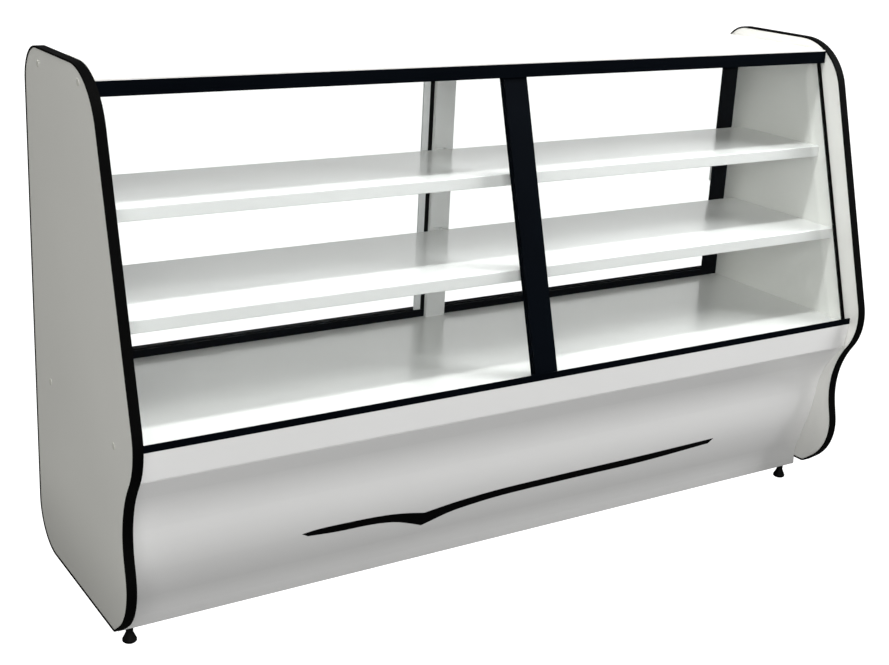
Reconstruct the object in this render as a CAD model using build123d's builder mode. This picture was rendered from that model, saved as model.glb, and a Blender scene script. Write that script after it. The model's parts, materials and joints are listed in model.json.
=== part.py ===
from build123d import *
import os
from math import atan, cos

os.makedirs("parts", exist_ok=True)

# Frame: X runs along the counter, Y points to the staff side, Z is up.
# The origin is on the floor, at the middle of the counter's footprint.

# Overall sizes
counter_length = 2000.0
counter_height = 1200.0
counter_depth = 604.0
half_length = counter_length / 2
rear_y = counter_depth / 2

# Side board outline: distances behind the front of the counter, heights, and corner radii
side_clearance = 60.0
rear_bottom_radius = 105.0
rear_top_radius = 80.0
brow_setback = 201.0
brow_radius = 151.0
nose_overrun = 13.28
nose_height = 477.0
nose_radius = 140.0
waist_setback = 79.0
waist_height = 343.0
waist_radius = 214.0
belly_setback = 29.5
belly_height = 136.0
belly_radius = 131.0
toe_setback = 124.5
toe_radius = 22.0

# Boards and trims
board_t = 18.0
floor_board_t = 15.0
trim_web = 2.0
trim_lip = 4.2
trim_cheek = 1.5
sheet_t = 1.2
fit_gap = 0.3

# Top board, deck and shelves
top_drop = 26.0
top_rear_gap = 28.0
corner_notch = 18.0
rear_corner_notch = 6.0
deck_top = 487.0
deck_rear_gap = 28.0
shelf_rear_gap = 100.0
shelf_lip = 28.0
shelf_rear_lip = 20.0
shelf_hem = 11.0
fold_radius = 2.4
shelf_end_gap = 1.5
upper_shelf_top = 925.0
upper_shelf_glass_gap = 31.0
lower_shelf_top = 722.0
lower_shelf_glass_gap = 11.6
cleat_leg = 18.0
cleat_t = 2.0
cleat_setback = 14.0

# Glass front
glass_t = 6.0
glass_top_setback = 22.5
glass_top_bite = 10.0
glass_foot_setback = 20.1
glass_foot_lift = 3.0
slot_gap = 0.4
bar_height = 30.0
bar_drop = 3.0
bar_setback = 229.0
bar_face_t = 2.5
bar_foot_depth = 38.0
rail_height = 15.0
rail_setback = 31.0
rail_depth = 28.0
rail_lip_t = 3.0
rail_back_height = 4.0
mullion_width = 62.0
mullion_t = 20.0
mullion_x = -2.5
mullion_bite = 10.0
mullion_ahead = 4.0
seal_width = 8.0
seal_t = 9.0

# Apron and fascia
apron_foot_setback = 39.0
apron_foot_drop = 65.5
apron_hem = 20.0
fascia_top_setback = 2.5
fascia_shoulder_setback = 104.0
fascia_shoulder_height = 330.0
fascia_shoulder_radius = 190.0
fascia_mid_setback = 118.0
fascia_mid_height = 215.0
fascia_mid_radius = 420.0
fascia_heel_setback = 158.0
fascia_heel_height = 85.0
fascia_heel_radius = 110.0
fascia_foot_setback = 155.0
fascia_foot_height = 39.5
fascia_hem = 8.0
fascia_end_gap = 0.6
front_beam_depth = 25.0
beam_wall = 1.5

# Rear frame of the display space
rear_frame_gap = 28.0
track_wall = 5.0
track_groove = 9.0
track_web = 6.0
rear_sill_height = 18.0
sill_groove_depth = 12.0
rear_head_height = 30.0
head_groove_depth = 18.0
stile_width = 55.0
stile_leaf_t = 4.0
stile_web_t = 8.0
post_width = 55.0
post_x = 8.0
post_t = 10.0
post_wall = 1.5

# Sliding glass doors
door_glass_t = 5.0
door_shoe_t = 8.0
door_shoe_height = 10.0
door_shoe_bite = 6.0
door_edge_width = 17.0
door_edge_t = 8.0
door_brush_width = 14.0
door_meeting_x = -28.0
door_strip_bite = 10.0
door_brush_t = 6.0
door_lap = 4.0
door_outer_gap = 2.0
door_lift = 4.0
pull_length = 120.0
pull_width = 14.0
pull_t = 7.0
pull_plate_t = 2.0
pull_lip_t = 2.5
pull_round = 0.8
pull_inset = 18.0
pull_height = 760.0

# Shelf arms
arm_t = 4.0
arm_depth = 24.0
arm_tip_depth = 12.0
arm_plate_t = 3.0
arm_plate_width = 44.0
arm_plate_height = 56.0
arm_tip_gap = 30.0
notch_gap = 2.0

# Base frame, storage floor and divider
tube_width = 30.0
tube_height = 60.0
tube_wall = 2.0
base_bottom = 41.0
front_tube_gap = 4.5
rear_tube_reach = 140.0
cross_tube_x = 480.0
divider_setback = 4.5
divider_rear_gap = 78.0

# Storage doors
storage_door_t = 15.0
storage_groove = 16.0
storage_wall = 4.0
storage_sill_height = 20.0
storage_head_height = 30.0
storage_groove_depth = 8.0
storage_head_groove = 16.0
storage_lap = 30.0
storage_outer_gap = 2.0
cup_radius = 19.0
cup_flange = 3.0
cup_flange_t = 1.0
cup_wall = 1.2
cup_depth = 9.0
cup_inset = 70.0
cup_height = 300.0

# Levelling feet
foot_inset = 30.0
foot_radius = 15.5
foot_rim_height = 6.0
foot_rim_round = 2.5
foot_cone_height = 22.0
neck_radius = 8.0
stud_radius = 5.0
stud_foot = 20.0
stud_top = 86.0
nut_height = 8.0
nut_flats = 17.0
running_gap = 0.05
stud_hole_gap = 1.0
stud_seat_gap = 0.02
stud_chamfer = 1.0

# Screws and caps
screw_radius = 2.4
screw_length = 48.0
screw_head_radius = 4.8
screw_head_t = 3.0
screw_gap = 0.1
cap_radius = 7.0
cap_t = 1.2
top_screw_rear = 90.0
top_screw_bar_gap = 38.0
deck_screw_rear = 105.0
deck_screw_rail_gap = 79.0
frame_screw_margin = 30.0
frame_screw_radius = 2.5
frame_screw_bite = 12.0
frame_screw_head = 5.0
arm_screw_pitch = 32.0
arm_screw_spread = 26.0
arm_screw_radius = 2.0
arm_screw_length = 9.0
arm_screw_head = 3.6
arm_screw_head_t = 2.0

# Derived heights and reaches
board_x = half_length - trim_cheek
inner_x = board_x - board_t
cheek_x = inner_x - trim_cheek
brow_reach = counter_depth - brow_setback
nose_reach = counter_depth + nose_overrun
waist_reach = counter_depth - waist_setback
belly_reach = counter_depth - belly_setback
toe_reach = counter_depth - toe_setback
top_surface = counter_height - top_drop
top_underside = top_surface - board_t
deck_underside = deck_top - board_t
bar_reach = counter_depth - bar_setback
bar_top = top_surface - bar_drop
bar_bottom = bar_top - bar_height
rail_reach = counter_depth - rail_setback
rail_top = deck_top + rail_height
rail_back = deck_top + rail_back_height
glass_top_reach = bar_reach - glass_top_setback
glass_top_height = bar_bottom + glass_top_bite
glass_foot_reach = rail_reach - glass_foot_setback
glass_foot_height = deck_top + glass_foot_lift
glass_slope = (glass_foot_reach - glass_top_reach) / (glass_top_height - glass_foot_height)
glass_tilt = atan(glass_slope)
apron_foot_reach = counter_depth - apron_foot_setback
apron_foot_height = deck_top - apron_foot_drop
fascia_shoulder_reach = counter_depth - fascia_shoulder_setback
fascia_mid_reach = counter_depth - fascia_mid_setback
fascia_heel_reach = counter_depth - fascia_heel_setback
fascia_foot_reach = counter_depth - fascia_foot_setback
front_tube_reach = fascia_foot_reach - front_tube_gap
divider_reach = front_tube_reach - divider_setback
cross_low = rear_tube_reach
cross_high = front_tube_reach - tube_width
foot_x = cheek_x - foot_inset
foot_front_reach = front_tube_reach - tube_width / 2
foot_rear_reach = rear_tube_reach - tube_width / 2
base_top = base_bottom + tube_height
floor_top = base_top + floor_board_t
sill_top = deck_top + rear_sill_height
head_bottom = top_underside - rear_head_height
storage_sill_top = floor_top + storage_sill_height
storage_head_bottom = deck_underside - storage_head_height
track_depth = 2 * track_wall + 2 * track_groove + track_web
track_reach = rear_frame_gap + track_depth
rear_track_reach = rear_frame_gap + track_wall + track_groove / 2
front_track_reach = rear_track_reach + track_groove + track_web
storage_depth = 3 * storage_wall + 2 * storage_groove
storage_reach = rear_frame_gap + storage_depth
storage_rear_reach = rear_frame_gap + storage_wall + storage_groove / 2
storage_front_reach = storage_rear_reach + storage_groove + storage_wall
top_screw_reaches = (top_screw_rear, bar_reach - top_screw_bar_gap)
deck_screw_reaches = (deck_screw_rear, rail_reach - deck_screw_rail_gap)
frame_screw_reaches = (
    cross_low + frame_screw_margin,
    (cross_low + cross_high) / 2,
    cross_high - frame_screw_margin,
)
sides = (("left", -1), ("right", 1))


def yz(reach, height):
    """Local point on a YZ plane, from the distance in front of the rear plane and the height."""
    return (rear_y - reach, height)


def x_plane(x):
    """Plane across the counter at x: local x is +Y, local y is +Z, normal is +X."""
    return Plane.YZ.offset(x)


def side_outline():
    """Closed outline of a finished side, trim included."""
    FilletPolyline(
        yz(0, side_clearance),
        yz(0, counter_height),
        yz(brow_reach, counter_height),
        yz(nose_reach, nose_height),
        yz(waist_reach, waist_height),
        yz(belly_reach, belly_height),
        yz(toe_reach, side_clearance),
        radius=(
            rear_bottom_radius,
            rear_top_radius,
            brow_radius,
            nose_radius,
            waist_radius,
            belly_radius,
            toe_radius,
        ),
        close=True,
    )


def side_sketch(x, inset):
    """Sketch of the side outline, moved inwards, on the plane at x."""
    with BuildSketch(x_plane(x)) as outline:
        with BuildLine():
            side_outline()
        make_face()
        if inset > 0:
            offset(amount=-inset, kind=Kind.INTERSECTION)
    return outline.sketch


def yz_box(x_low, x_high, reach_low, reach_high, z_low, z_high, mode=Mode.ADD):
    """Box from its limits along X, in front of the rear plane, and in height."""
    with BuildSketch(x_plane(x_low)) as face:
        with Locations(yz((reach_low + reach_high) / 2, (z_low + z_high) / 2)):
            Rectangle(reach_high - reach_low, z_high - z_low)
    extrude(face.sketch, amount=x_high - x_low, mode=mode)


def glass_reach(height):
    """Distance of the glass centre plane in front of the rear plane, at a height."""
    return glass_top_reach + glass_slope * (glass_top_height - height)


def glass_slab(x_low, x_high, z_low, z_high, thickness, mode=Mode.ADD, ahead=0.0):
    """Slanted slab along the glass plane, its faces moved ahead of it by a distance."""
    half = thickness / 2 / cos(glass_tilt)
    shift = ahead / cos(glass_tilt)
    with BuildSketch(x_plane(x_low)) as slab:
        with BuildLine():
            Polyline(
                yz(glass_reach(z_low) + shift - half, z_low),
                yz(glass_reach(z_low) + shift + half, z_low),
                yz(glass_reach(z_high) + shift + half, z_high),
                yz(glass_reach(z_high) + shift - half, z_high),
                close=True,
            )
        make_face()
    extrude(slab.sketch, amount=x_high - x_low, mode=mode)


def rail_body(mode=Mode.ADD):
    """Full length of the bottom glass rail: a front lip, and a top that falls to the back."""
    with BuildSketch(x_plane(-inner_x)) as profile:
        with BuildLine():
            Polyline(
                yz(rail_reach, deck_top),
                yz(rail_reach, rail_top),
                yz(rail_reach - rail_lip_t, rail_top),
                yz(rail_reach - rail_depth, rail_back),
                yz(rail_reach - rail_depth, deck_top),
                close=True,
            )
        make_face()
    extrude(profile.sketch, amount=2 * inner_x, mode=mode)


def folded_sheet(points, radii, x_low, x_high):
    """Sheet of even thickness along a bent line, extruded along X."""
    with BuildSketch(x_plane(x_low)) as profile:
        with BuildLine():
            FilletPolyline(*points, radius=radii)
            offset(amount=sheet_t, side=Side.LEFT, kind=Kind.ARC)
        make_face()
    extrude(profile.sketch, amount=x_high - x_low)


def on_side(x, side, reach, height):
    """Place on a face at x that looks out along side times +X."""
    return Plane(origin=(x, rear_y - reach, height), z_dir=(side, 0, 0)).location


def on_front(x, reach, height):
    """Place on a face that looks to the customer's side."""
    return Plane(origin=(x, rear_y - reach, height), z_dir=(0, -1, 0)).location


def on_rear(x, reach, height):
    """Place on a face that looks to the staff side."""
    return Plane(origin=(x, rear_y - reach, height), z_dir=(0, 1, 0)).location


def upright(x, reach, height):
    """Place with its axis up."""
    return Location((x, rear_y - reach, height))


def store(builder, name):
    """Label a finished piece and write it."""
    builder.part.label = name
    export_step(builder.part, f"parts/{name}.step")


# Side boards with their screw holes
top_screw_z = top_underside + board_t / 2
deck_screw_z = deck_underside + board_t / 2
frame_screw_z = base_top - tube_height / 4
screw_places = [(reach, top_screw_z) for reach in top_screw_reaches]
screw_places += [(reach, deck_screw_z) for reach in deck_screw_reaches]

for side_name, side in sides:
    board_low = min(side * board_x, side * inner_x)
    with BuildPart() as side_board:
        extrude(side_sketch(board_low, trim_web), amount=board_t)
        for reach, height in screw_places:
            with Locations(on_side(side * board_x, side, reach, height)):
                CounterBoreHole(
                    radius=screw_radius + screw_gap,
                    counter_bore_radius=screw_head_radius + screw_gap,
                    counter_bore_depth=screw_head_t,
                    depth=board_t,
                )
        for reach in frame_screw_reaches:
            with Locations(on_side(side * inner_x, -side, reach, frame_screw_z)):
                Hole(radius=frame_screw_radius + screw_gap, depth=frame_screw_bite)
    store(side_board, f"side_board_{side_name}")

# Black U trims round the edge of each side board
trim_t = board_t + 2 * trim_cheek
for side_name, side in sides:
    trim_low = min(side * half_length, side * (inner_x - trim_cheek))
    with BuildPart() as side_trim:
        extrude(side_sketch(trim_low, 0), amount=trim_t)
        extrude(side_sketch(trim_low, trim_lip), amount=trim_t, mode=Mode.SUBTRACT)
        extrude(side_sketch(trim_low + trim_cheek, trim_web), amount=board_t, mode=Mode.SUBTRACT)
    store(side_trim, f"side_trim_{side_name}")

# Top board, with screw holes in its ends
with BuildPart() as top_panel:
    yz_box(-inner_x, inner_x, top_rear_gap, bar_reach - bar_face_t, top_underside, top_surface)
    for side_name, side in sides:
        for notch_rear, notch_front in (
            (bar_reach - corner_notch, bar_reach),
            (top_rear_gap, top_rear_gap + rear_corner_notch),
        ):
            yz_box(
                min(side * cheek_x, side * inner_x),
                max(side * cheek_x, side * inner_x),
                notch_rear,
                notch_front,
                top_underside,
                top_surface,
                mode=Mode.SUBTRACT,
            )
        for reach in top_screw_reaches:
            with Locations(on_side(side * inner_x, side, reach, top_screw_z)):
                Hole(radius=screw_radius + screw_gap, depth=screw_length - board_t)
store(top_panel, "top_panel")

# Black top bar: a thin face over the board's edge, and a channel for the glass below it
with BuildPart() as top_bar:
    bar_back = bar_reach - bar_foot_depth
    bar_inner = bar_reach - bar_face_t
    yz_box(-cheek_x, cheek_x, bar_inner, bar_reach, bar_bottom, bar_top)
    yz_box(-cheek_x, cheek_x, bar_back, bar_inner, bar_bottom, top_underside)
    glass_slab(
        -cheek_x,
        cheek_x,
        bar_bottom - slot_gap,
        glass_top_height + slot_gap,
        glass_t + 2 * slot_gap,
        mode=Mode.SUBTRACT,
    )
store(top_bar, "top_bar")

# Black bottom glass rail on the deck's front edge
with BuildPart() as bottom_rail:
    rail_body()
    glass_slab(
        -inner_x,
        inner_x,
        glass_foot_height - slot_gap,
        rail_top + slot_gap,
        glass_t + 2 * slot_gap,
        mode=Mode.SUBTRACT,
    )
store(bottom_rail, "bottom_rail")

# Front mullion, grooved on both sides for the panes
with BuildPart() as front_mullion:
    mullion_low = mullion_x - mullion_width / 2
    mullion_high = mullion_x + mullion_width / 2
    glass_slab(mullion_low, mullion_high, rail_back, bar_bottom, mullion_t, ahead=mullion_ahead)
    rail_body(Mode.SUBTRACT)
    for groove_low in (mullion_low, mullion_high - mullion_bite):
        glass_slab(
            groove_low,
            groove_low + mullion_bite,
            rail_back,
            bar_bottom,
            glass_t + 2 * slot_gap,
            mode=Mode.SUBTRACT,
        )
store(front_mullion, "front_mullion")

# Front panes and their side seals
for side_name, side in sides:
    pane_outer = side * (inner_x - seal_width)
    pane_inner = mullion_x + side * (mullion_width / 2 - mullion_bite + slot_gap)
    pane_low = min(pane_outer, pane_inner)
    pane_high = max(pane_outer, pane_inner)
    with BuildPart() as front_glass:
        glass_slab(pane_low, pane_high, glass_foot_height, glass_top_height, glass_t)
    store(front_glass, f"front_glass_{side_name}")

    seal_low = min(pane_outer, side * inner_x)
    with BuildPart() as glass_seal:
        glass_slab(seal_low, seal_low + seal_width, rail_back, bar_bottom, seal_t)
        rail_body(Mode.SUBTRACT)
    store(glass_seal, f"glass_seal_{side_name}")

# Deck board, with screw holes in its ends
apron_lean = (rail_reach - apron_foot_reach) / (deck_top - apron_foot_height)
deck_reach = rail_reach - apron_lean * board_t - sheet_t - 2 * fit_gap
with BuildPart() as deck:
    yz_box(-inner_x, inner_x, deck_rear_gap, deck_reach, deck_underside, deck_top)
    for side_name, side in sides:
        for reach in deck_screw_reaches:
            with Locations(on_side(side * inner_x, side, reach, deck_screw_z)):
                Hole(radius=screw_radius + screw_gap, depth=screw_length - board_t)
store(deck, "deck")

# Apron: a leaning strip with a hem turned in under the front beam
apron_end = inner_x - fascia_end_gap
with BuildPart() as apron:
    folded_sheet(
        (
            yz(rail_reach, deck_top - fit_gap),
            yz(apron_foot_reach, apron_foot_height),
            yz(apron_foot_reach - apron_hem, apron_foot_height),
        ),
        (fold_radius,),
        -apron_end,
        apron_end,
    )
store(apron, "apron")

# Front beam behind the apron
front_beam_reach = apron_foot_reach - fold_radius - fit_gap
front_beam_back = front_beam_reach - front_beam_depth
front_beam_bottom = apron_foot_height + sheet_t
with BuildPart() as front_beam:
    yz_box(-inner_x, inner_x, front_beam_back, front_beam_reach, front_beam_bottom, deck_underside)
    yz_box(
        -inner_x,
        inner_x,
        front_beam_back + beam_wall,
        front_beam_reach - beam_wall,
        front_beam_bottom + beam_wall,
        deck_underside - beam_wall,
        mode=Mode.SUBTRACT,
    )
store(front_beam, "front_beam")

# Curved fascia from the apron's foot down to the base frame
fascia_top = apron_foot_height - fit_gap
with BuildPart() as fascia:
    folded_sheet(
        (
            yz(apron_foot_reach - apron_hem, fascia_top),
            yz(apron_foot_reach - fascia_top_setback, fascia_top),
            yz(fascia_shoulder_reach, fascia_shoulder_height),
            yz(fascia_mid_reach, fascia_mid_height),
            yz(fascia_heel_reach, fascia_heel_height),
            yz(fascia_foot_reach, fascia_foot_height),
            yz(fascia_foot_reach - fascia_hem, fascia_foot_height),
        ),
        (
            fold_radius,
            fascia_shoulder_radius,
            fascia_mid_radius,
            fascia_heel_radius,
            fold_radius,
        ),
        -apron_end,
        apron_end,
    )
store(fascia, "fascia")

# Shelves: folded trays, open below, notched at the back for the shelf arm
shelf_end = inner_x - shelf_end_gap
shelf_specs = (
    ("upper", upper_shelf_top, glass_reach(upper_shelf_top) - upper_shelf_glass_gap),
    ("lower", lower_shelf_top, glass_reach(lower_shelf_top) - lower_shelf_glass_gap),
)
for shelf_name, shelf_top, shelf_reach in shelf_specs:
    with BuildPart() as shelf:
        folded_sheet(
            (
                yz(shelf_rear_gap, shelf_top - shelf_rear_lip),
                yz(shelf_rear_gap, shelf_top),
                yz(shelf_reach, shelf_top),
                yz(shelf_reach, shelf_top - shelf_lip),
                yz(shelf_reach - shelf_hem, shelf_top - shelf_lip),
            ),
            (fold_radius,) * 3,
            -shelf_end,
            shelf_end,
        )
        yz_box(
            post_x - arm_t / 2 - notch_gap,
            post_x + arm_t / 2 + notch_gap,
            shelf_rear_gap - sheet_t,
            shelf_rear_gap + 2 * sheet_t,
            shelf_top - shelf_lip,
            shelf_top - sheet_t,
            mode=Mode.SUBTRACT,
        )
    store(shelf, f"shelf_{shelf_name}")

# Angle cleats that carry the shelf ends
with BuildPart() as shelf_cleats:
    for shelf_name, shelf_top, shelf_reach in shelf_specs:
        seat = shelf_top - sheet_t
        cleat_rear = shelf_rear_gap + cleat_setback
        cleat_front = shelf_reach - shelf_hem - cleat_setback
        for side_name, side in sides:
            leg_low = min(side * inner_x, side * (inner_x - cleat_leg))
            web_low = min(side * inner_x, side * (inner_x - cleat_t))
            yz_box(leg_low, leg_low + cleat_leg, cleat_rear, cleat_front, seat - cleat_t, seat)
            yz_box(web_low, web_low + cleat_t, cleat_rear, cleat_front, seat - cleat_leg, seat)
store(shelf_cleats, "shelf_cleats")


def arm_screw_spots(shelf_top):
    """The four screw places of a shelf arm's plate, as x and height."""
    middle = shelf_top - sheet_t - arm_plate_height / 2
    return [
        (post_x + across * arm_screw_spread / 2, middle + up * arm_screw_pitch / 2)
        for across in (-1, 1)
        for up in (-1, 1)
    ]


# Rear post in front of the sliding doors
post_front = track_reach + post_t
with BuildPart() as rear_post:
    post_low = post_x - post_width / 2
    post_high = post_x + post_width / 2
    yz_box(post_low, post_high, track_reach, post_front, deck_top, top_underside)
    yz_box(
        post_low + post_wall,
        post_high - post_wall,
        track_reach + post_wall,
        post_front - post_wall,
        deck_top,
        top_underside,
        mode=Mode.SUBTRACT,
    )
    for shelf_name, shelf_top, shelf_reach in shelf_specs:
        for x, height in arm_screw_spots(shelf_top):
            with Locations(on_front(x, post_front, height)):
                Hole(radius=arm_screw_radius + screw_gap, depth=post_wall)
store(rear_post, "rear_post")

# Shelf arms: a tapered blade on a back plate, screwed to the post
arm_plate_front = post_front + arm_plate_t
for shelf_name, shelf_top, shelf_reach in shelf_specs:
    seat = shelf_top - sheet_t
    arm_tip_reach = shelf_reach - shelf_hem - arm_tip_gap
    with BuildPart() as shelf_arm:
        with BuildSketch(x_plane(post_x - arm_t / 2)) as blade:
            with BuildLine():
                Polyline(
                    yz(arm_plate_front, seat),
                    yz(arm_tip_reach, seat),
                    yz(arm_tip_reach, seat - arm_tip_depth),
                    yz(arm_plate_front, seat - arm_depth),
                    close=True,
                )
            make_face()
        extrude(blade.sketch, amount=arm_t)
        yz_box(
            post_x - arm_plate_width / 2,
            post_x + arm_plate_width / 2,
            post_front,
            arm_plate_front,
            seat - arm_plate_height,
            seat,
        )
        for x, height in arm_screw_spots(shelf_top):
            with Locations(on_front(x, arm_plate_front, height)):
                Hole(radius=arm_screw_radius + screw_gap, depth=arm_plate_t)
    store(shelf_arm, f"shelf_arm_{shelf_name}")

# Rear sill and head tracks, with two grooves each for the sliding doors
groove_reaches = (rear_track_reach, front_track_reach)
with BuildPart() as rear_sill:
    yz_box(-inner_x, inner_x, rear_frame_gap, track_reach, deck_top, sill_top)
    for reach in groove_reaches:
        yz_box(
            -inner_x,
            inner_x,
            reach - track_groove / 2,
            reach + track_groove / 2,
            sill_top - sill_groove_depth,
            sill_top,
            mode=Mode.SUBTRACT,
        )
store(rear_sill, "rear_sill")

with BuildPart() as rear_head:
    yz_box(-inner_x, inner_x, rear_frame_gap, track_reach, head_bottom, top_underside)
    for reach in groove_reaches:
        yz_box(
            -inner_x,
            inner_x,
            reach - track_groove / 2,
            reach + track_groove / 2,
            head_bottom,
            head_bottom + head_groove_depth,
            mode=Mode.SUBTRACT,
        )
store(rear_head, "rear_head")

# Rear stiles: a web on the side board and a leaf in front of the doors' edges
for side_name, side in sides:
    web_low = min(side * inner_x, side * (inner_x - stile_web_t))
    leaf_low = min(side * inner_x, side * (inner_x - stile_width))
    leaf_reach = track_reach - stile_leaf_t
    with BuildPart() as rear_stile:
        yz_box(web_low, web_low + stile_web_t, rear_frame_gap, track_reach, sill_top, head_bottom)
        yz_box(leaf_low, leaf_low + stile_width, leaf_reach, track_reach, sill_top, head_bottom)
    store(rear_stile, f"rear_stile_{side_name}")

# Sliding glass doors: pane, bottom shoe, meeting edge strip, brush and pull
shoe_bottom = sill_top - sill_groove_depth + fit_gap
shoe_top = shoe_bottom + door_shoe_height
pane_bottom = shoe_top - door_shoe_bite
pane_top = head_bottom + head_groove_depth - door_lift
door_outer = inner_x - stile_web_t - door_outer_gap
glass_door_specs = (
    ("left", -1, front_track_reach, door_meeting_x),
    ("right", 1, rear_track_reach, door_meeting_x - door_lap),
)
for side_name, side, reach, meeting in glass_door_specs:
    door_edge = side * door_outer
    door_low = min(door_edge, meeting)
    door_high = max(door_edge, meeting)
    strip_low = min(meeting, meeting + side * door_edge_width)
    pane_end = meeting + side * door_strip_bite
    pane_low = min(door_edge, pane_end)
    pane_high = max(door_edge, pane_end)
    pane_limits = (reach - door_glass_t / 2, reach + door_glass_t / 2)
    with BuildPart() as glass_door:
        yz_box(pane_low, pane_high, *pane_limits, pane_bottom, pane_top)
    store(glass_door, f"glass_door_{side_name}")

    with BuildPart() as door_shoe:
        half = door_shoe_t / 2
        yz_box(door_low, door_high, reach - half, reach + half, shoe_bottom, shoe_top)
        yz_box(door_low, door_high, *pane_limits, pane_bottom, shoe_top, mode=Mode.SUBTRACT)
    store(door_shoe, f"door_shoe_{side_name}")

    with BuildPart() as door_strip:
        half = door_edge_t / 2
        strip_high = strip_low + door_edge_width
        yz_box(strip_low, strip_high, reach - half, reach + half, shoe_top, pane_top)
        yz_box(
            min(pane_end, meeting + side * door_edge_width),
            max(pane_end, meeting + side * door_edge_width),
            *pane_limits,
            shoe_top,
            pane_top,
            mode=Mode.SUBTRACT,
        )
    store(door_strip, f"door_strip_{side_name}")

    grip_x = door_edge - side * pull_inset
    grip_face = reach - door_glass_t / 2
    with BuildPart() as door_pull:
        yz_box(
            grip_x - pull_width / 2,
            grip_x + pull_width / 2,
            grip_face - pull_plate_t,
            grip_face,
            pull_height,
            pull_height + pull_length,
        )
        lip_low = min(grip_x - side * pull_width / 2, grip_x - side * (pull_width / 2 - pull_lip_t))
        yz_box(
            lip_low,
            lip_low + pull_lip_t,
            grip_face - pull_t,
            grip_face,
            pull_height,
            pull_height + pull_length,
        )
        fillet(door_pull.edges().filter_by(Axis.Z).sort_by(Axis.Y)[-2:], radius=pull_round)
    store(door_pull, f"door_pull_{side_name}")

with BuildPart() as door_brush:
    half = door_brush_t / 2
    yz_box(
        door_meeting_x,
        door_meeting_x + door_brush_width,
        front_track_reach - half,
        front_track_reach + half,
        shoe_top,
        pane_top,
    )
store(door_brush, "door_brush")

# Base frame: two long tubes joined by cross tubes, with holes for the foot studs
foot_reaches = (foot_front_reach, foot_rear_reach)
foot_spots = [(side * foot_x, reach) for side in (-1, 1) for reach in foot_reaches]
long_tubes = (front_tube_reach - tube_width, rear_tube_reach - tube_width)
end_tube_x = cheek_x - tube_width / 2
cross_xs = (-end_tube_x, -cross_tube_x, cross_tube_x, end_tube_x)
with BuildPart() as base_frame:
    for low in long_tubes:
        yz_box(-cheek_x, cheek_x, low, low + tube_width, base_bottom, base_top)
    for x in cross_xs:
        half = tube_width / 2
        yz_box(x - half, x + half, cross_low, cross_high, base_bottom, base_top)
    for low in long_tubes:
        yz_box(
            -cheek_x,
            cheek_x,
            low + tube_wall,
            low + tube_width - tube_wall,
            base_bottom + tube_wall,
            base_top - tube_wall,
            mode=Mode.SUBTRACT,
        )
    for x in cross_xs:
        half = tube_width / 2 - tube_wall
        yz_box(
            x - half,
            x + half,
            cross_low,
            cross_high,
            base_bottom + tube_wall,
            base_top - tube_wall,
            mode=Mode.SUBTRACT,
        )
    for x, reach in foot_spots:
        with Locations(upright(x, reach, base_bottom + tube_wall)):
            Hole(radius=stud_radius + stud_hole_gap, depth=tube_wall)
    for side_name, side in sides:
        for reach in frame_screw_reaches:
            with Locations(on_side(side * (cheek_x - tube_width), -side, reach, frame_screw_z)):
                Hole(radius=frame_screw_radius + screw_gap, depth=tube_width)
store(base_frame, "base_frame")

# Storage floor, and the divider that carries the middle of the deck
with BuildPart() as storage_floor:
    yz_box(-inner_x, inner_x, rear_frame_gap, front_tube_reach, base_top, floor_top)
store(storage_floor, "storage_floor")

with BuildPart() as storage_divider:
    half = board_t / 2
    yz_box(-half, half, divider_rear_gap, divider_reach, floor_top, deck_underside)
store(storage_divider, "storage_divider")

# Storage door tracks
storage_grooves = (storage_rear_reach, storage_front_reach)
storage_tracks = (
    ("storage_sill", floor_top, storage_sill_top, storage_sill_top - storage_groove_depth, True),
    (
        "storage_head",
        storage_head_bottom,
        deck_underside,
        storage_head_bottom + storage_head_groove,
        False,
    ),
)
for track_name, low, high, groove_end, opens_up in storage_tracks:
    with BuildPart() as storage_track:
        yz_box(-inner_x, inner_x, rear_frame_gap, storage_reach, low, high)
        for reach in storage_grooves:
            yz_box(
                -inner_x,
                inner_x,
                reach - storage_groove / 2,
                reach + storage_groove / 2,
                groove_end if opens_up else low,
                high if opens_up else groove_end,
                mode=Mode.SUBTRACT,
            )
    store(storage_track, track_name)

# Storage doors with cup pulls sunk in their staff side
storage_door_bottom = storage_sill_top - storage_groove_depth + fit_gap
storage_door_top = storage_head_bottom + storage_head_groove - door_lift
storage_outer = inner_x - storage_outer_gap
storage_specs = (
    ("left", -1, storage_front_reach),
    ("right", 1, storage_rear_reach),
)
for side_name, side, reach in storage_specs:
    door_edge = side * storage_outer
    meeting = -side * storage_lap / 2
    door_low = min(door_edge, meeting)
    door_high = max(door_edge, meeting)
    half = storage_door_t / 2
    staff_face = reach - half
    cup_place = on_rear(door_edge - side * cup_inset, staff_face, cup_height)
    with BuildPart() as storage_door:
        yz_box(
            door_low,
            door_high,
            reach - half,
            reach + half,
            storage_door_bottom,
            storage_door_top,
        )
        with Locations(cup_place):
            Hole(radius=cup_radius + screw_gap, depth=cup_depth + screw_gap)
    store(storage_door, f"storage_door_{side_name}")

    with BuildPart() as cup_pull:
        with Locations(cup_place):
            Cylinder(
                radius=cup_radius,
                height=cup_depth,
                align=(Align.CENTER, Align.CENTER, Align.MAX),
            )
            Cylinder(
                radius=cup_radius + cup_flange,
                height=cup_flange_t,
                align=(Align.CENTER, Align.CENTER, Align.MIN),
            )
        with Locations(cup_place * Location((0, 0, cup_flange_t))):
            Hole(radius=cup_radius - cup_wall, depth=cup_depth - cup_wall + cup_flange_t)
    store(cup_pull, f"cup_pull_{side_name}")

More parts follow.
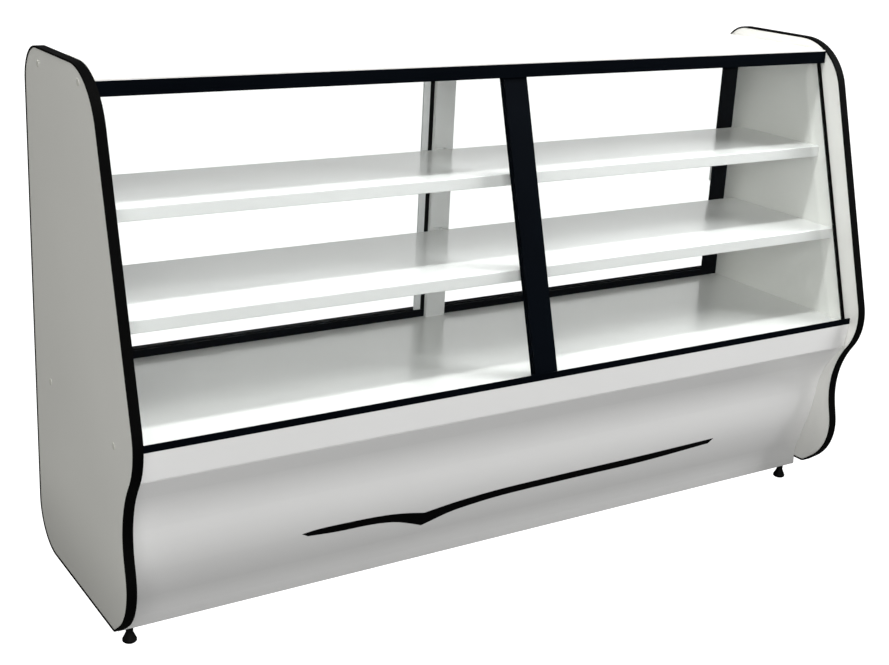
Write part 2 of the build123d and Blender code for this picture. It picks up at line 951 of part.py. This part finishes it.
# Levelling feet: a moulded foot on a threaded stud that turns in a fixed nut
foot_names = ("front_left", "rear_left", "front_right", "rear_right")
for foot_name, (x, reach) in zip(foot_names, foot_spots):
    with BuildPart() as foot:
        upright_plane = Plane(origin=(x, rear_y - reach, 0), x_dir=(1, 0, 0), z_dir=(0, -1, 0))
        with BuildSketch(upright_plane) as section:
            with BuildLine():
                Polyline(
                    (0, 0),
                    (foot_radius - foot_rim_round, 0),
                    (foot_radius, foot_rim_round),
                    (foot_radius, foot_rim_height),
                    (neck_radius, foot_cone_height),
                    (neck_radius, base_bottom - fit_gap),
                    (0, base_bottom - fit_gap),
                    close=True,
                )
            make_face()
        revolve(section.sketch, axis=Axis((x, rear_y - reach, 0), (0, 0, 1)))
        with Locations(upright(x, reach, base_bottom - fit_gap)):
            Hole(radius=stud_radius + stud_seat_gap, depth=base_bottom - fit_gap - stud_foot)
    store(foot, f"foot_{foot_name}")

    with BuildPart() as foot_stud:
        with Locations(upright(x, reach, stud_foot)):
            Cylinder(
                radius=stud_radius,
                height=stud_top - stud_foot,
                align=(Align.CENTER, Align.CENTER, Align.MIN),
            )
        chamfer(foot_stud.edges().group_by(Axis.Z)[-1], length=stud_chamfer)
    store(foot_stud, f"foot_stud_{foot_name}")

with BuildPart() as foot_nuts:
    for x, reach in foot_spots:
        with BuildSketch(Plane.XY.offset(base_bottom + tube_wall)) as nut:
            with Locations((x, rear_y - reach)):
                RegularPolygon(radius=nut_flats / 2, side_count=6, major_radius=False)
                Circle(radius=stud_radius + running_gap, mode=Mode.SUBTRACT)
        extrude(nut.sketch, amount=nut_height)
store(foot_nuts, "foot_nuts")

# Screws through the side boards, and the caps over their heads
with BuildPart() as panel_screws:
    for side_name, side in sides:
        for reach, height in screw_places:
            with Locations(on_side(side * board_x, side, reach, height)):
                Cylinder(
                    radius=screw_head_radius,
                    height=screw_head_t,
                    align=(Align.CENTER, Align.CENTER, Align.MAX),
                )
                Cylinder(
                    radius=screw_radius,
                    height=screw_length,
                    align=(Align.CENTER, Align.CENTER, Align.MAX),
                )
store(panel_screws, "panel_screws")

with BuildPart() as screw_caps:
    for side_name, side in sides:
        for reach, height in screw_places:
            with Locations(on_side(side * board_x, side, reach, height)):
                Cylinder(
                    radius=cap_radius,
                    height=cap_t,
                    align=(Align.CENTER, Align.CENTER, Align.MIN),
                )
    rims = screw_caps.edges().filter_by(lambda rim: abs(abs(rim.center().X) - board_x - cap_t) < fit_gap)
    fillet(rims, radius=cap_t / 2)
store(screw_caps, "screw_caps")

# Screws from the base frame into the side boards
with BuildPart() as frame_screws:
    for side_name, side in sides:
        for reach in frame_screw_reaches:
            with Locations(on_side(side * (cheek_x - tube_width), -side, reach, frame_screw_z)):
                Cylinder(
                    radius=frame_screw_head,
                    height=screw_head_t,
                    align=(Align.CENTER, Align.CENTER, Align.MIN),
                )
                Cylinder(
                    radius=frame_screw_radius,
                    height=tube_width + trim_cheek + frame_screw_bite,
                    align=(Align.CENTER, Align.CENTER, Align.MAX),
                )
store(frame_screws, "frame_screws")

# Screws from the shelf arms into the rear post
with BuildPart() as arm_screws:
    for shelf_name, shelf_top, shelf_reach in shelf_specs:
        for x, height in arm_screw_spots(shelf_top):
            with Locations(on_front(x, arm_plate_front, height)):
                Cylinder(
                    radius=arm_screw_head,
                    height=arm_screw_head_t,
                    align=(Align.CENTER, Align.CENTER, Align.MIN),
                )
                Cylinder(
                    radius=arm_screw_radius,
                    height=arm_screw_length,
                    align=(Align.CENTER, Align.CENTER, Align.MAX),
                )
store(arm_screws, "arm_screws")
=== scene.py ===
"""Looks of a glass-fronted display counter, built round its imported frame. Lengths are in metres."""
import json

import bpy
from mathutils import Matrix, Vector


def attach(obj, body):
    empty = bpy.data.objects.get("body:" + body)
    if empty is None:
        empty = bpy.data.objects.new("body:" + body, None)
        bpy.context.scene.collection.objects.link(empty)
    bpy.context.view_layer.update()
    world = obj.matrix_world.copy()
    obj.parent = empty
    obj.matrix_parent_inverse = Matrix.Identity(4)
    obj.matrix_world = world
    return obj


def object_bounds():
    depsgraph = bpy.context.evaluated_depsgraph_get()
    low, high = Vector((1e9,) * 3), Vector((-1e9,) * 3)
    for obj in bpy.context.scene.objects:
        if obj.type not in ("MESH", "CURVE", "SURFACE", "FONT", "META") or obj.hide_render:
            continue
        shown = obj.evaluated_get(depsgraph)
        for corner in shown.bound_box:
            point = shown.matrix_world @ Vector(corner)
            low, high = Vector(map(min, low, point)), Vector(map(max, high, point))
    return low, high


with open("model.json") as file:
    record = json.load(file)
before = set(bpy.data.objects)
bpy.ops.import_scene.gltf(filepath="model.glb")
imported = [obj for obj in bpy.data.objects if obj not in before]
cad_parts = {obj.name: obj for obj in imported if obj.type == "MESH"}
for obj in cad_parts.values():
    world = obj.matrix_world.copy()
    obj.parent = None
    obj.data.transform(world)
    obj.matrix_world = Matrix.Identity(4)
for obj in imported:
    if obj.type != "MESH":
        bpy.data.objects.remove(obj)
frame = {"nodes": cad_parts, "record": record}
cad_low, cad_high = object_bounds()
nodes = frame["nodes"]

# Camera, from a perspective fit of the photograph
PHOTO_WIDTH, PHOTO_HEIGHT = 889, 665
SENSOR_WIDTH = 36.0
FOCAL_PIXELS = 1417.74
PRINCIPAL_X, PRINCIPAL_Y = 423.68, 299.44
CAMERA_PLACE = (-1.8763, -2.6554, 1.5994)
CAMERA_RIGHT = (0.84868894, -0.52685528, 0.04637444)
CAMERA_DOWN = (-0.11896726, -0.27560118, -0.95388195)
CAMERA_AHEAD = (0.51533859, 0.80403203, -0.29657821)

# Lamps: strengths come from a fit to the photograph's brightness, region by region
COUNTER_MIDDLE = (0.0, 0.0, 0.6)
KEY_PLACE = (0.0, -0.37, 3.0)
KEY_SIZE = (3.2, 0.22)
KEY_POWER = 55.0
LEFT_PLACE = (-3.0, -4.0, 2.3)
LEFT_SIZE = (2.4, 2.4)
LEFT_POWER = 76.0
FRONT_PLACE = (-0.2, -5.0, 1.0)
FRONT_SIZE = (1.6, 1.2)
FRONT_POWER = 50.0
RIGHT_PLACE = (3.6, -1.6, 3.4)
RIGHT_SIZE = (2.0, 2.0)
RIGHT_POWER = 215.0

# Sky and floor
SKY_UP = 0.14
SKY_BACK = 0.35
SKY_LEFT = 0.54
SKY_LEFT_COLOUR = (1.0, 0.995, 0.9, 1.0)
WHITE = (1.0, 1.0, 1.0, 1.0)
BACKGROUND = 1.3
FLOOR_HALF = 30.0
FLOOR_GREY = (0.18, 0.18, 0.18, 1.0)
FLOOR_ROUGHNESS = 0.6
FLOOR_SHINE = 0.1
FLOOR_GLOW = 0.98

# Surface texture: a noise keeps near the middle, so this band of it covers a finish's whole range
NOISE_LOW = 0.3
NOISE_HIGH = 0.7
PATCH_DETAIL = 3.0
SMEAR_SCALE = 2.3
SMEAR_DETAIL = 5.0
GRAIN_DETAIL = 2.0
GRAIN_DEPTH = 0.0002
STREAK_SCALE = 60.0
STREAK_DETAIL = 4.0
# Painted shade: below this height the colour darkens towards the floor
SHADE_BELOW = 0.3

# Glass: its broad faces look to the customer and the staff, its narrow ones are greener
GLASS_TINT = (0.99, 0.997, 0.993)
GLASS_EDGE_TINT = (0.45, 0.72, 0.60)
GLASS_SHADOW_TINT = (0.97, 0.985, 0.98, 1.0)
GLASS_IOR = 1.5
BROAD_FACE_NORMAL = 0.5

# Paint, laminate, rubber and plastic. low and high are the ends of the mottled colour, floor_shade is
# the share of it left at the floor as painted shade, and mottle and grain are the noise scales of
# colour and texture.
COATINGS = {
    "white_laminate": {
        "low": (0.83, 0.83, 0.805), "high": (0.87, 0.87, 0.845), "rough": (0.32, 0.42),
        "mottle": 1.6, "grain": 900.0, "bump": 0.05, "shine": 0.5, "floor_shade": 0.72,
    },
    "gloss_deck": {
        "low": (0.84, 0.84, 0.83), "high": (0.87, 0.87, 0.86), "rough": (0.16, 0.24),
        "mottle": 1.6, "grain": 500.0, "bump": 0.01, "shine": 0.5,
    },
    "black_trim": {
        "low": (0.0012, 0.0012, 0.0012), "high": (0.0022, 0.0022, 0.0022), "rough": (0.6, 0.7),
        "mottle": 8.0, "grain": 700.0, "bump": 0.1, "shine": 0.02,
    },
    "black_metal": {
        "low": (0.0005, 0.0012, 0.0025), "high": (0.001, 0.002, 0.0038), "rough": (0.55, 0.65),
        "mottle": 6.0, "grain": 1200.0, "bump": 0.05, "shine": 0.02,
    },
    "seal_rubber": {
        "low": (0.001, 0.001, 0.001), "high": (0.002, 0.002, 0.002), "rough": (0.6, 0.75),
        "mottle": 12.0, "grain": 900.0, "bump": 0.15, "shine": 0.02,
    },
    "white_metal": {
        "low": (0.85, 0.85, 0.845), "high": (0.88, 0.88, 0.875), "rough": (0.14, 0.2),
        "mottle": 1.8, "grain": 500.0, "bump": 0.02, "shine": 0.5, "floor_shade": 0.6,
    },
    "frame_steel": {
        "low": (0.03, 0.03, 0.033), "high": (0.045, 0.045, 0.048), "rough": (0.4, 0.55),
        "mottle": 6.0, "grain": 400.0, "bump": 0.1, "shine": 0.5,
    },
    "black_plastic": {
        "low": (0.002, 0.002, 0.002), "high": (0.004, 0.004, 0.004), "rough": (0.5, 0.65),
        "mottle": 20.0, "grain": 900.0, "bump": 0.2, "shine": 0.08,
    },
    "white_plastic": {
        "low": (0.64, 0.64, 0.60), "high": (0.70, 0.70, 0.66), "rough": (0.5, 0.6),
        "mottle": 30.0, "grain": 900.0, "bump": 0.05, "shine": 0.1,
    },
}

# Bare metal, with drawn marks along the axis of the smallest stretch. The doors' aluminium has a
# matt anodised skin, so it counts as metal only in part.
METALS = {
    "pale_aluminium": {
        "low": (0.82, 0.83, 0.84), "high": (0.92, 0.93, 0.93), "rough": (0.35, 0.5),
        "stretch": (30.0, 30.0, 1.0), "metallic": 0.25,
    },
    "zinc_steel": {
        "low": (0.50, 0.50, 0.49), "high": (0.66, 0.66, 0.63), "rough": (0.25, 0.42),
        "stretch": (1.0, 1.0, 20.0), "metallic": 1.0,
    },
}

# Stripe on the fascia: knots of its upper and lower edges, as X and height
STRIPE_UPPER_LEFT = (
    (-0.571, 0.1835), (-0.53, 0.1875), (-0.45, 0.187), (-0.38, 0.1845), (-0.32, 0.178),
    (-0.2514, 0.1638),
)
STRIPE_UPPER_RIGHT = (
    (-0.2514, 0.1638), (-0.2, 0.171), (-0.14, 0.1775), (-0.04, 0.1835), (0.16, 0.186),
    (0.4, 0.187), (0.631, 0.1907),
)
STRIPE_LOWER_LEFT = (
    (-0.5545, 0.1739), (-0.48, 0.1675), (-0.406, 0.1655), (-0.362, 0.1616), (-0.3245, 0.1543),
    (-0.2888, 0.1419), (-0.2524, 0.127),
)
STRIPE_LOWER_RIGHT = (
    (-0.2524, 0.127), (-0.222, 0.136), (-0.19, 0.1455), (-0.15, 0.153), (-0.04, 0.1625),
    (0.16, 0.1655), (0.4, 0.1665), (0.617, 0.1774),
)
STRIPE_COLUMNS = 60
STRIPE_ROWS = 4
STRIPE_THICKNESS = 0.00025
RAY_LEAD = 0.1


def new_material(name):
    """Material with its node tree and Principled shader."""
    material = bpy.data.materials.new(name)
    material.use_nodes = True
    return material, material.node_tree, material.node_tree.nodes["Principled BSDF"]


def add_node(tree, kind, **values):
    """Node with its named inputs set."""
    node = tree.nodes.new(kind)
    for socket, value in values.items():
        node.inputs[socket].default_value = value
    return node


def set_range(node, from_low, from_high, to_low, to_high):
    """Ends of a Map Range node."""
    node.inputs["From Min"].default_value = from_low
    node.inputs["From Max"].default_value = from_high
    node.inputs["To Min"].default_value = to_low
    node.inputs["To Max"].default_value = to_high


def object_noise(tree, scale, detail, stretch=(1.0, 1.0, 1.0)):
    """Noise in the counter's own frame."""
    place = tree.nodes.new("ShaderNodeTexCoord")
    mapping = add_node(tree, "ShaderNodeMapping", Scale=stretch)
    noise = add_node(tree, "ShaderNodeTexNoise", Scale=scale, Detail=detail)
    tree.links.new(place.outputs["Object"], mapping.inputs["Vector"])
    tree.links.new(mapping.outputs["Vector"], noise.inputs["Vector"])
    return noise.outputs["Fac"]


def ranged(tree, value, ends):
    """Map a noise to a range."""
    node = tree.nodes.new("ShaderNodeMapRange")
    set_range(node, NOISE_LOW, NOISE_HIGH, *ends)
    tree.links.new(value, node.inputs["Value"])
    return node.outputs["Result"]


def mixed_colour(tree, value, low, high):
    """Blend of two colours by a value."""
    ramp = tree.nodes.new("ShaderNodeValToRGB")
    first, second = ramp.color_ramp.elements
    first.position = NOISE_LOW
    first.color = (*low, 1.0)
    second.position = NOISE_HIGH
    second.color = (*high, 1.0)
    tree.links.new(value, ramp.inputs["Fac"])
    return ramp.outputs["Color"]


def add_bump(tree, shader, value, strength):
    """Bump from a value."""
    bump = add_node(tree, "ShaderNodeBump", Strength=strength, Distance=GRAIN_DEPTH)
    tree.links.new(value, bump.inputs["Height"])
    tree.links.new(bump.outputs["Normal"], shader.inputs["Normal"])


def painted_floor_shade(tree, colour, share):
    """Colour darkened towards the floor: painted shade."""
    place = tree.nodes.new("ShaderNodeTexCoord")
    parts = tree.nodes.new("ShaderNodeSeparateXYZ")
    tree.links.new(place.outputs["Object"], parts.inputs["Vector"])
    height = tree.nodes.new("ShaderNodeMapRange")
    height.interpolation_type = "SMOOTHSTEP"
    set_range(height, 0.0, SHADE_BELOW, share, 1.0)
    tree.links.new(parts.outputs["Z"], height.inputs["Value"])
    scaled = tree.nodes.new("ShaderNodeVectorMath")
    scaled.operation = "SCALE"
    tree.links.new(colour, scaled.inputs[0])
    tree.links.new(height.outputs["Result"], scaled.inputs["Scale"])
    return scaled.outputs["Vector"]


def coated_surface(name, low, high, rough, mottle, grain, bump, shine, floor_shade=1.0):
    """Coated surface: mottled colour, uneven gloss, a fine texture and, where asked, painted shade
    towards the floor.
    """
    material, tree, shader = new_material(name)
    colour = mixed_colour(tree, object_noise(tree, mottle, PATCH_DETAIL), low, high)
    # Painted shade: the colour darkens towards the floor
    if floor_shade < 1.0:
        colour = painted_floor_shade(tree, colour, floor_shade)
    tree.links.new(colour, shader.inputs["Base Color"])
    smears = object_noise(tree, mottle * SMEAR_SCALE, SMEAR_DETAIL)
    tree.links.new(ranged(tree, smears, rough), shader.inputs["Roughness"])
    add_bump(tree, shader, object_noise(tree, grain, GRAIN_DETAIL), bump)
    shader.inputs["Specular IOR Level"].default_value = shine
    return material


def drawn_metal(name, low, high, rough, stretch, metallic):
    """Metal with drawn marks along one direction."""
    material, tree, shader = new_material(name)
    streaks = object_noise(tree, STREAK_SCALE, STREAK_DETAIL, stretch)
    tree.links.new(mixed_colour(tree, streaks, low, high), shader.inputs["Base Color"])
    tree.links.new(ranged(tree, streaks, rough), shader.inputs["Roughness"])
    shader.inputs["Metallic"].default_value = metallic
    return material


def two_values(tree, operation, first, second):
    """Math on two values."""
    node = tree.nodes.new("ShaderNodeMath")
    node.operation = operation
    tree.links.new(first, node.inputs[0])
    if isinstance(second, (int, float)):
        node.inputs[1].default_value = second
    else:
        tree.links.new(second, node.inputs[1])
    return node.outputs["Value"]


def clear_glass(name):
    """Glass that lets light from lamps through."""
    material, tree, shader = new_material(name)
    place = tree.nodes.new("ShaderNodeTexCoord")
    facing = tree.nodes.new("ShaderNodeSeparateXYZ")
    tree.links.new(place.outputs["Normal"], facing.inputs["Vector"])
    flat = two_values(tree, "ABSOLUTE", facing.outputs["Y"], 0.0)
    broad = two_values(tree, "GREATER_THAN", flat, BROAD_FACE_NORMAL)
    tint = mixed_colour(tree, broad, GLASS_EDGE_TINT, GLASS_TINT)
    tree.links.new(tint, shader.inputs["Base Color"])
    shader.inputs["Roughness"].default_value = 0.0
    shader.inputs["IOR"].default_value = GLASS_IOR
    shader.inputs["Transmission Weight"].default_value = 1.0
    clear = add_node(tree, "ShaderNodeBsdfTransparent", Color=GLASS_SHADOW_TINT)
    paths = tree.nodes.new("ShaderNodeLightPath").outputs
    passing = two_values(tree, "MAXIMUM", paths["Is Shadow Ray"], paths["Is Diffuse Ray"])
    mix = tree.nodes.new("ShaderNodeMixShader")
    tree.links.new(passing, mix.inputs["Fac"])
    tree.links.new(shader.outputs["BSDF"], mix.inputs[1])
    tree.links.new(clear.outputs["BSDF"], mix.inputs[2])
    tree.links.new(mix.outputs["Shader"], tree.nodes["Material Output"].inputs["Surface"])
    return material


finishes = {name: coated_surface(name, **values) for name, values in COATINGS.items()}
for name, values in METALS.items():
    finishes[name] = drawn_metal(name, **values)
finishes["clear_glass"] = clear_glass("clear_glass")

for entry in frame["record"]["subparts"]:
    node = nodes[entry["node"]]
    node.data.materials.clear()
    node.data.materials.append(finishes[entry["material_slot"]])


def knot_height(knots, x):
    """Height at x of a smooth line through knots."""
    last = len(knots) - 2
    index = next((i for i in range(last + 1) if x <= knots[i + 1][0]), last)
    (x0, z0), (x1, z1) = knots[index], knots[index + 1]
    before = knots[max(index - 1, 0)]
    after = knots[min(index + 2, last + 1)]
    slope_in = (z1 - before[1]) / (x1 - before[0])
    slope_out = (after[1] - z0) / (after[0] - x0)
    width = x1 - x0
    t = (x - x0) / width
    rise = z1 - z0
    return (
        z0
        + t * width * slope_in
        + t * t * (3 * rise - width * (2 * slope_in + slope_out))
        + t * t * t * (width * (slope_in + slope_out) - 2 * rise)
    )


def on_fascia(x, z):
    """Point on the fascia's customer side, and its normal."""
    start = Vector((x, cad_low.y - RAY_LEAD, z))
    hit, place, normal, _ = nodes["fascia"].ray_cast(start, Vector((0.0, 1.0, 0.0)))
    if not hit:
        raise ValueError("the stripe runs past the fascia")
    return place, normal


def stripe_columns():
    """Upper and lower point of each cut through the stripe, from left to right."""
    columns = []
    for upper, lower in (
        (STRIPE_UPPER_LEFT, STRIPE_LOWER_LEFT),
        (STRIPE_UPPER_RIGHT, STRIPE_LOWER_RIGHT),
    ):
        first = 1 if columns else 0
        for step in range(first, STRIPE_COLUMNS + 1):
            t = step / STRIPE_COLUMNS
            x_up = upper[0][0] + t * (upper[-1][0] - upper[0][0])
            x_down = lower[0][0] + t * (lower[-1][0] - lower[0][0])
            columns.append(((x_up, knot_height(upper, x_up)), (x_down, knot_height(lower, x_down))))
    return columns


def build_stripe():
    """Tapered stripe that follows the fascia's curve."""
    columns = stripe_columns()
    vertices = []
    for top, bottom in columns:
        for row in range(STRIPE_ROWS + 1):
            share = row / STRIPE_ROWS
            x = top[0] + share * (bottom[0] - top[0])
            z = top[1] + share * (bottom[1] - top[1])
            place, normal = on_fascia(x, z)
            vertices.append(place + normal * STRIPE_THICKNESS / 2)
    step = STRIPE_ROWS + 1
    faces = []
    for column in range(len(columns) - 1):
        for row in range(STRIPE_ROWS):
            corner = column * step + row
            faces.append((corner, corner + 1, corner + step + 1, corner + step))
    mesh = bpy.data.meshes.new("fascia_stripe")
    mesh.from_pydata(vertices, [], faces)
    mesh.materials.append(finishes["black_trim"])
    stripe = bpy.data.objects.new("fascia_stripe", mesh)
    bpy.context.scene.collection.objects.link(stripe)
    thick = stripe.modifiers.new("thickness", "SOLIDIFY")
    thick.thickness = STRIPE_THICKNESS
    thick.offset = 0.0
    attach(stripe, "cabinet")


def seen_bright(tree):
    """1 where the white surround shows: straight to the camera, or behind through the glass."""
    place = tree.nodes.new("ShaderNodeTexCoord")
    parts = tree.nodes.new("ShaderNodeSeparateXYZ")
    source = "Generated" if tree.nodes.get("World Output") else "Object"
    tree.links.new(place.outputs[source], parts.inputs["Vector"])
    behind = two_values(tree, "GREATER_THAN", parts.outputs["Y"], 0.0)
    paths = tree.nodes.new("ShaderNodeLightPath").outputs
    through = two_values(tree, "MULTIPLY", paths["Is Transmission Ray"], behind)
    return two_values(tree, "MAXIMUM", paths["Is Camera Ray"], through)


def build_floor():
    """Plain pale floor, as bright as the surround where it is seen."""
    corners = [
        (-FLOOR_HALF, -FLOOR_HALF, 0.0),
        (FLOOR_HALF, -FLOOR_HALF, 0.0),
        (FLOOR_HALF, FLOOR_HALF, 0.0),
        (-FLOOR_HALF, FLOOR_HALF, 0.0),
    ]
    mesh = bpy.data.meshes.new("floor")
    mesh.from_pydata(corners, [], [(0, 1, 2, 3)])
    floor = bpy.data.objects.new("floor", mesh)
    bpy.context.scene.collection.objects.link(floor)
    material, tree, shader = new_material("floor_paint")
    shader.inputs["Base Color"].default_value = FLOOR_GREY
    shader.inputs["Roughness"].default_value = FLOOR_ROUGHNESS
    shader.inputs["Specular IOR Level"].default_value = FLOOR_SHINE
    glow = add_node(tree, "ShaderNodeEmission", Color=WHITE, Strength=BACKGROUND)
    share = two_values(tree, "MULTIPLY", seen_bright(tree), FLOOR_GLOW)
    mix = tree.nodes.new("ShaderNodeMixShader")
    tree.links.new(share, mix.inputs["Fac"])
    tree.links.new(shader.outputs["BSDF"], mix.inputs[1])
    tree.links.new(glow.outputs["Emission"], mix.inputs[2])
    tree.links.new(mix.outputs["Shader"], tree.nodes["Material Output"].inputs["Surface"])
    mesh.materials.append(material)


def add_area(name, place, aim, size, power):
    """Area light that looks at a point."""
    data = bpy.data.lights.new(name, "AREA")
    data.shape = "RECTANGLE"
    data.size, data.size_y = size
    data.energy = power
    light = bpy.data.objects.new(name, data)
    light.location = place
    light.rotation_euler = (Vector(aim) - Vector(place)).to_track_quat("-Z", "Y").to_euler()
    bpy.context.scene.collection.objects.link(light)


def sky_lobe(tree, direction, axis, strength):
    """Soft light from one side of the sky."""
    facing = tree.nodes.new("ShaderNodeVectorMath")
    facing.operation = "DOT_PRODUCT"
    facing.inputs[1].default_value = axis
    tree.links.new(direction, facing.inputs[0])
    lobe = two_values(tree, "MAXIMUM", facing.outputs["Value"], 0.0)
    return two_values(tree, "MULTIPLY", lobe, strength)


def build_sky():
    """Soft light from above, behind and the left, under the white surround that is seen."""
    world = bpy.data.worlds.new("studio")
    bpy.context.scene.world = world
    world.use_nodes = True
    tree = world.node_tree
    place = tree.nodes.new("ShaderNodeTexCoord").outputs["Generated"]
    upper = sky_lobe(tree, place, (0.0, 0.0, 1.0), SKY_UP)
    rear = sky_lobe(tree, place, (0.0, 1.0, 0.0), SKY_BACK)
    plain = tree.nodes["Background"]
    plain.inputs["Color"].default_value = WHITE
    tree.links.new(two_values(tree, "ADD", upper, rear), plain.inputs["Strength"])
    warm = add_node(tree, "ShaderNodeBackground", Color=SKY_LEFT_COLOUR)
    tree.links.new(sky_lobe(tree, place, (-1.0, 0.0, 0.0), SKY_LEFT), warm.inputs["Strength"])
    sky = tree.nodes.new("ShaderNodeAddShader")
    tree.links.new(plain.outputs["Background"], sky.inputs[0])
    tree.links.new(warm.outputs["Background"], sky.inputs[1])
    surround = add_node(tree, "ShaderNodeBackground", Color=WHITE, Strength=BACKGROUND)
    mix = tree.nodes.new("ShaderNodeMixShader")
    tree.links.new(seen_bright(tree), mix.inputs["Fac"])
    tree.links.new(sky.outputs["Shader"], mix.inputs[1])
    tree.links.new(surround.outputs["Background"], mix.inputs[2])
    tree.links.new(mix.outputs["Shader"], tree.nodes["World Output"].inputs["Surface"])


def build_camera():
    """Camera at the photograph's viewpoint."""
    data = bpy.data.cameras.new("camera")
    data.sensor_width = SENSOR_WIDTH
    data.lens = FOCAL_PIXELS / PHOTO_WIDTH * SENSOR_WIDTH
    data.shift_x = (PHOTO_WIDTH / 2 - PRINCIPAL_X) / PHOTO_WIDTH
    data.shift_y = (PRINCIPAL_Y - PHOTO_HEIGHT / 2) / PHOTO_WIDTH
    camera = bpy.data.objects.new("camera", data)
    turn = Matrix((CAMERA_RIGHT, -Vector(CAMERA_DOWN), -Vector(CAMERA_AHEAD))).transposed()
    camera.matrix_world = Matrix.Translation(CAMERA_PLACE) @ turn.to_4x4()
    bpy.context.scene.collection.objects.link(camera)
    bpy.context.scene.camera = camera


build_stripe()
build_floor()
key_foot = (KEY_PLACE[0], KEY_PLACE[1], 0.0)
add_area("key_strip", KEY_PLACE, key_foot, KEY_SIZE, KEY_POWER)
add_area("left_soft", LEFT_PLACE, COUNTER_MIDDLE, LEFT_SIZE, LEFT_POWER)
add_area("front_soft", FRONT_PLACE, COUNTER_MIDDLE, FRONT_SIZE, FRONT_POWER)
add_area("right_soft", RIGHT_PLACE, COUNTER_MIDDLE, RIGHT_SIZE, RIGHT_POWER)
build_sky()
build_camera()
bpy.context.scene.view_settings.view_transform = "Standard"
